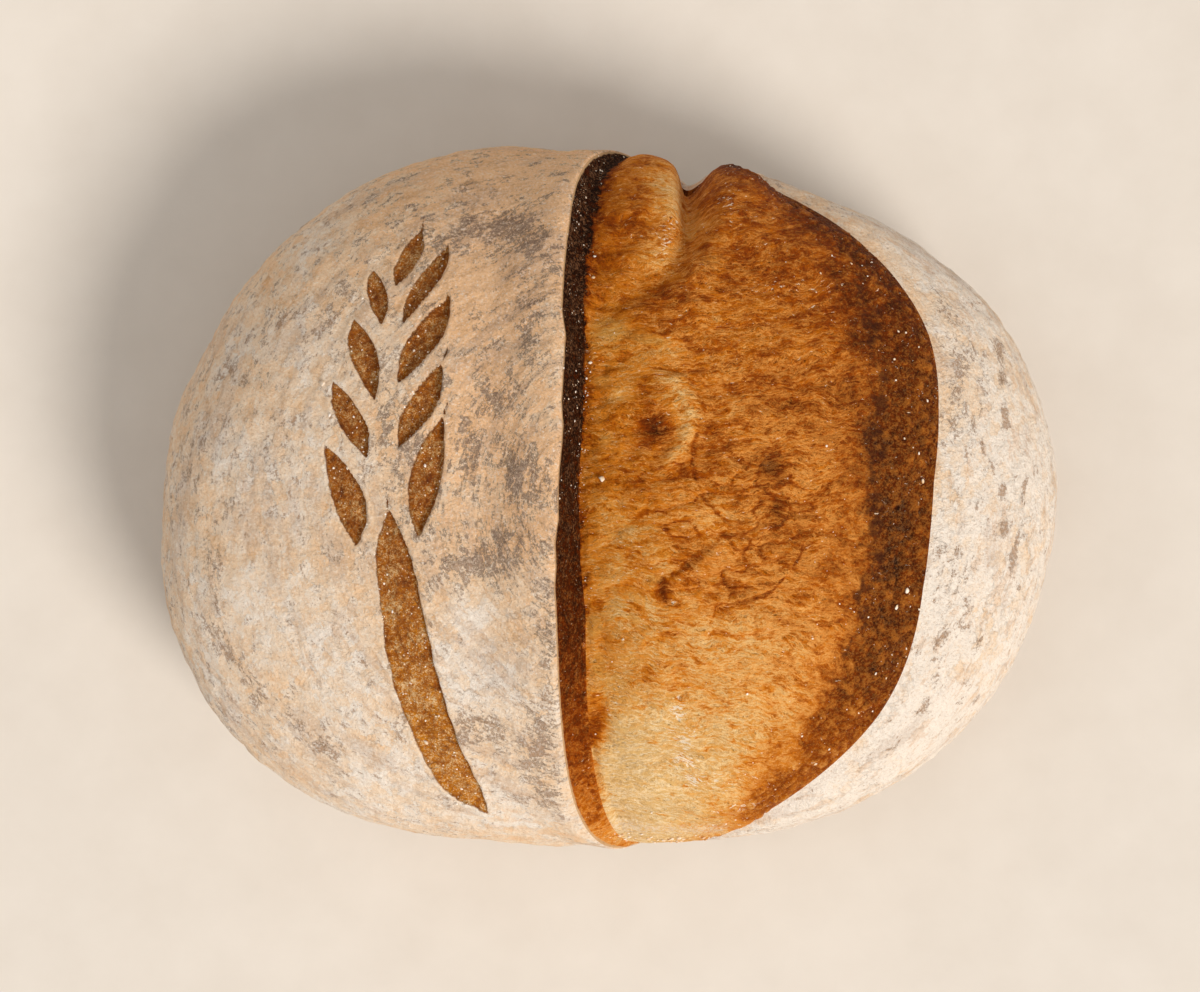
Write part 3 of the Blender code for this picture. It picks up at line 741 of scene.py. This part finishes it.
face = Sheet(EAR_LIP, FOOT_OF_CUT, 14)
to_foot = face.run - face.across
face.lift(0.5 * MM * clouds(face.points, 3.0 * MM, 3, seed=17) * ease(face.across, 0, 1.2 * MM) * ease(to_foot, 0, 1.2 * MM))
face_y = face.points[..., 1] / MM
nothing = np.zeros(face.angle.shape)
face_piece = face.mesh(
    "ear_face", baked_finish("burnt_edge", 0.06), drawn=np.stack([-to_foot, face.points[..., 1], face.points[..., 2]], -1),
    bake=0.62 - 0.20 * ease(face_y, -20.0, -78.0) - 0.10 * ease(face_y, -82.0, -90.0), band=nothing, bruise=nothing, wrinkle=nothing, band_bake=nothing, tears=nothing, rosy=nothing, film=nothing, crease=nothing, pit=nothing, torn_edge=nothing,
    up_face=2.2 * ease(face_y, 40, 75) + to_foot / MM, under_lip=face.across / MM,
    char=np.interp(face_y, *zip(*CHAR_ALONG)))
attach(face_piece, "root")
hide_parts("loaf")


# ---- Floured crust, right of the score ----
# The skin that the tear pulled down on the far side. It kept most of its flour, marked by the folds of the
# cloth it proved in as lines around the loaf, with a few brown scuffs where the flour came off.

SCUFFS = (
    (105.6, 40, 1.6, 3.6, 10, 1.5), (105.4, 32, 1.3, 2.6, 0, 1.5), (106, 21, 1.3, 3.6, 0, 1.5), (101.3, 7.6, 2.2, 2.6, 0, 0.9),
    (104.2, 2, 1.3, 2.4, 0, 1.5), (108, -14, 1.1, 5.0, -8, 1.5), (92, -14, 1.2, 1.8, 0, 1.5), (104.3, -8, 1.4, 2.0, 20, 1.5),
    (99.3, -38, 0.9, 2.6, -20, 1.5), (93, -22, 6, 8, 10, 0.6), (84, -54, 1.3, 5, -35, 1.2), (93, 30, 4, 16, -12, 0.6),
    (98, 24, 3, 9, -8, 0.6), (90, 50, 2, 6, 25, 0.9), (95, -34, 4, 9, -15, 0.6), (99, 14, 1.0, 3, 0, 1.2),
    (88, -36, 1.5, 6, -20, 0.9), (76, -66, 1.2, 3, -45, 1.2), (111, 2, 1.0, 3.0, 0, 1.2), (110, -24, 0.9, 1.4, 0, 1.5),
)
HEAVY_FLOUR = ((100, -30, 16, 26, -15, 1.0), (84, -60, 24, 12, 35, 1.0), (106, 8, 10, 26, 0, 0.7), (92, 8, 6, 22, 0, 0.5),
               (60, -80, 20, 10, 20, 1.0))

right = Sheet(SKIN_EDGE, -90.0, 105)
right_bumps = crust_bumps(right) * ease(right.across, 0.4 * MM, 3 * MM)
right_top = right.points[..., 2] > 0.9 * girth_z
right.lift(right_bumps)
right_crust = right.mesh(
    "crust_right", floured, belt=right.belt, cut=np.full(right.angle.shape, -4.0),
    thin=patches(right.plan, SCUFFS) * right_top,
    thick=evened(right, np.maximum(0.45, patches(right.plan, HEAVY_FLOUR)), 0.3),
    white=evened(right, 0.82 - 0.45 * hump(right.across / MM, 9.0) * ease(right.plan[..., 1] / MM, -40.0, 30.0), 0.68),
    golden=np.zeros(right.angle.shape))
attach(right_crust, "root")
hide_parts("loaf")


# ---- Loose flour and crumbs ----
# Pinches of rice flour and torn bits of crust that lie on the baked parts: in the cuts of the wheat ear, on the
# dark edge and along the band. They are lumps of 0.2 to 1.8 mm, joined in one mesh. A few larger ones are placed,
# and shreds hang on where the bloom tore at the front.

FLOUR_SIZES, SHRED_SIZES = (0.09 * MM, 0.30 * MM), (0.20 * MM, 0.60 * MM)      # radii
# Larger lumps from above: x, y, radius in millimetres.
LUMPS_ON_SKIN = ((-74.3, 29.9, 0.85), (-72.8, 21.5, 0.5), (-47.8, -64.1, 0.75), (-67.5, 8.0, 0.45), (-55.2, 20.0, 0.4),
                 (-64.6, 52.5, 0.4), (-50.6, 38.8, 0.4), (-47.0, 8.4, 0.45), (-56.5, -24.0, 0.35), (-38.6, -77.0, 0.4))
LUMPS_ON_BLOOM = ((78.4, -24.1, 0.8), (75.6, -28.2, 0.6), (82.4, 4.3, 0.6), (83.6, 25.8, 0.45), (81.0, 12.0, 0.35),
                  (64.0, 62.0, 0.35), (76.0, 44.0, 0.4), (-1.6, 5.1, 0.7), (-4.4, 35.4, 0.5), (-4.0, 58.0, 0.5),
                  (-3.4, 63.5, 0.4), (70.0, -46.0, 0.4), (55.0, -70.0, 0.45), (58.5, -66.0, 0.35))
SHREDS_FROM, SHREDS_TO, SHREDS = (2.0, -91.5), (28.0, -92.5), 36


def scatter(sheet, weight, count, sizes, rng):
    """Random places on a sheet, more where the weight is larger: middles, directions out, radii."""
    down, across = np.diff(sheet.points, axis=0)[:, :-1], np.diff(sheet.points, axis=1)[:-1]
    out = np.cross(down, across)
    chance = np.linalg.norm(out, axis=-1) * np.broadcast_to(weight, sheet.angle.shape)[:-1, :-1]
    picked = rng.choice(chance.size, count, p=chance.ravel() / chance.sum())
    row, column = np.unravel_index(picked, chance.shape)
    u, v = rng.random((2, count, 1))
    middles = sheet.points[row, column] + u * down[row, column] + v * across[row, column]
    out = out[row, column] * np.sign(np.sum(out[row, column] * sheet.way[row, column], axis=-1, keepdims=True))
    out /= np.linalg.norm(out, axis=-1, keepdims=True)
    return middles, out, sizes[0] + (sizes[1] - sizes[0]) * rng.random(count) ** 3.5


def placed(sheet, lumps):
    """Lumps at chosen places on the upper side of a sheet."""
    top = sheet.points[..., 2] > girth_z
    spots = [np.unravel_index(np.argmin(np.hypot(sheet.points[..., 0] - x * MM, sheet.points[..., 1] - y * MM)
                                        + 9.0 * ~top), top.shape) for x, y, _ in lumps]
    rows, columns = zip(*spots)
    return sheet.points[rows, columns], sheet.way[rows, columns], np.array([radius * MM for _, _, radius in lumps])


rng = np.random.default_rng(31)
along_front = rng.random((SHREDS, 1))
shreds = np.array(SHREDS_FROM) + along_front * np.subtract(SHREDS_TO, SHREDS_FROM) + rng.normal(0, 0.9, (SHREDS, 2))
shred_radii = rng.uniform(*SHRED_SIZES, SHREDS) / MM
near_ear = hump(bloom.across / MM, 1.6) * ease(y, -45, 0)
flecked = ease(clouds(bloom.points, 14 * MM, 2, seed=34), -0.2, 0.6)
groups = (
    scatter(left, np.where(cut_by > 0.2 * MM, 1.0, 0.0), 300, FLOUR_SIZES, rng),
    scatter(left, hump(cut_by / MM + 0.5, 0.8), 120, FLOUR_SIZES, rng),
    scatter(face, ease(clouds(face.points, 9 * MM, 2, seed=33) + ease(face_y, -60, 60), 0.6, 1.3), 110, FLOUR_SIZES, rng),
    scatter(bloom, 0.02 + band * flecked + 4.0 * near_ear * flecked + 0.4 * tears, 280, FLOUR_SIZES, rng),
    placed(left, LUMPS_ON_SKIN), placed(bloom, LUMPS_ON_BLOOM),
    placed(bloom, [(*spot, radius) for spot, radius in zip(shreds, shred_radii)]),
)
middles, out, radii = (np.concatenate(parts) for parts in zip(*groups))
ball = bmesh.new()
bmesh.ops.create_icosphere(ball, subdivisions=2, radius=1.0)
ball_points = np.array([vertex.co[:] for vertex in ball.verts])
ball_faces = np.array([[vertex.index for vertex in face.verts] for face in ball.faces])
ball.free()
rough = 1.0 + 0.5 * clouds(ball_points + 3.0 * np.arange(len(radii))[:, None, None], 1.2, 2, seed=32)
lumps = ball_points * rough[..., None]
lumps -= 0.5 * np.einsum("nvk,nk->nv", lumps, out)[..., None] * out[:, None]        # squashed on the crust
lumps = middles[:, None] + radii[:, None, None] * (lumps + 0.25 * out[:, None])
lump_faces = ball_faces + len(ball_points) * np.arange(len(radii))[:, None, None]
flour_mesh = bpy.data.meshes.new("loose_flour")
flour_mesh.from_pydata(lumps.reshape(-1, 3), [], lump_faces.reshape(-1, 3).tolist())
flour_mesh.shade_smooth()
white_flour, spot = start_finish("loose_flour")
colour = spot.noise(2.5 * MM, 3).tint((0.35, (226, 190, 146)), (0.50, (244, 226, 204)), (0.65, (254, 244, 232)))
finish_surface(white_flour, colour, 0.85, 0.1 * spot.noise(0.3 * MM, 2))
flour_mesh.materials.append(white_flour)
loose_flour = bpy.data.objects.new("loose_flour", flour_mesh)
bpy.context.scene.collection.objects.link(loose_flour)
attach(loose_flour, "root")


# ---- The base ----
# The loaf stood on a hot stone, which left it flat and evenly toasted underneath, with a little flour burnt on.

BASE_RINGS = (1.0, 0.985, 0.94, 0.86, 0.74, 0.6, 0.44, 0.28, 0.12)


def toasted_finish(name):
    """The plain toasted underside."""
    material, spot = start_finish(name)
    mottle, fine = spot.noise(14 * MM, 4, 0.6), spot.noise(1.8 * MM, 4, 0.7)
    tone = 0.5 + 0.9 * (mottle - 0.5) + 0.5 * (fine - 0.5)
    colour = tone.tint((0.15, (98, 56, 26)), (0.42, (150, 96, 50)), (0.62, (186, 132, 82)), (0.85, (222, 184, 142)))
    finish_surface(material, colour, 0.85 + 0.1 * (fine - 0.5), 0.25 * fine + 0.2 * mottle)
    return material


def rim_of(sheet):
    """The end of a sheet where it meets the flat base, from back to front."""
    edge = sheet.points[:, -1]
    return edge[edge[:, 2] < 1e-6]


rim = np.concatenate([rim_of(left), rim_of(right)[::-1]])
base_points = np.concatenate([rim * share for share in BASE_RINGS] + [[(0.0, 0.0, 0.0)]])
count = len(rim)
base_faces = [(ring * count + n, ring * count + (n + 1) % count, (ring + 1) * count + (n + 1) % count, (ring + 1) * count + n)
              for ring in range(len(BASE_RINGS) - 1) for n in range(count)]
base_faces += [((len(BASE_RINGS) - 1) * count + n, (len(BASE_RINGS) - 1) * count + (n + 1) % count, len(base_points) - 1)
               for n in range(count)]
base_mesh = bpy.data.meshes.new("base")
base_mesh.from_pydata(base_points.tolist(), [], base_faces)
base_mesh.materials.append(toasted_finish("toasted_base"))
base_piece = bpy.data.objects.new("base", base_mesh)
bpy.context.scene.collection.objects.link(base_piece)
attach(base_piece, "root")
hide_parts("loaf")


# ---- Floor, light and camera ----
# A pale matte floor, a broad soft lamp low on the front right, and a camera straight above the loaf.

PAPER = (222, 214, 204)
CAMERA_HEIGHT, CAMERA_LENS = 0.90, 93.8
CAMERA_X, CAMERA_Y = -2.1 * MM, 0.7 * MM

floor_mesh = bpy.data.meshes.new("floor")
floor_mesh.from_pydata([(-6, -6, 0), (6, -6, 0), (6, 6, 0), (-6, 6, 0)], [], [(0, 1, 2, 3)])
paper, spot = start_finish("paper")
shade = (0.5 * spot.noise(0.25, 3) + 0.5 * spot.noise(0.02, 3)).tint((0.3, (214, 205, 194)), (0.7, PAPER))
finish_surface(paper, shade, 0.9, 0.05 * spot.noise(0.004, 2), specular=0.1)
floor_mesh.materials.append(paper)
floor = bpy.data.objects.new("floor", floor_mesh)
floor.location.z = -0.0005
bpy.context.scene.collection.objects.link(floor)


def add_lamp(name, towards, spread, power, colour):
    """A far, soft lamp in a direction from the loaf, spread over an angle in degrees."""
    lamp = bpy.data.lights.new(name, "SUN")
    lamp.angle, lamp.energy, lamp.color = math.radians(spread), power, colour
    holder = bpy.data.objects.new(name, lamp)
    holder.rotation_euler = mathutils.Vector(towards).to_track_quat("Z", "Y").to_euler()
    bpy.context.scene.collection.objects.link(holder)


add_lamp("key", (0.85, -0.90, 1.15), 22, 2.75, (1.0, 0.955, 0.90))
add_lamp("fill", (-1.1, 0.3, 1.3), 60, 0.35, (1.0, 0.97, 0.94))
world = bpy.data.worlds.new("studio")
bpy.context.scene.world = world
world.use_nodes = True
world.node_tree.nodes["Background"].inputs["Color"].default_value = (1.0, 0.97, 0.94, 1.0)
world.node_tree.nodes["Background"].inputs["Strength"].default_value = 0.52

camera_data = bpy.data.cameras.new("camera")
camera_data.lens = CAMERA_LENS
camera_data.clip_start = 0.05
camera = bpy.data.objects.new("camera", camera_data)
camera.location = (CAMERA_X, CAMERA_Y, CAMERA_HEIGHT)
bpy.context.scene.collection.objects.link(camera)
bpy.context.scene.camera = camera
bpy.context.scene.view_settings.view_transform = "Standard"
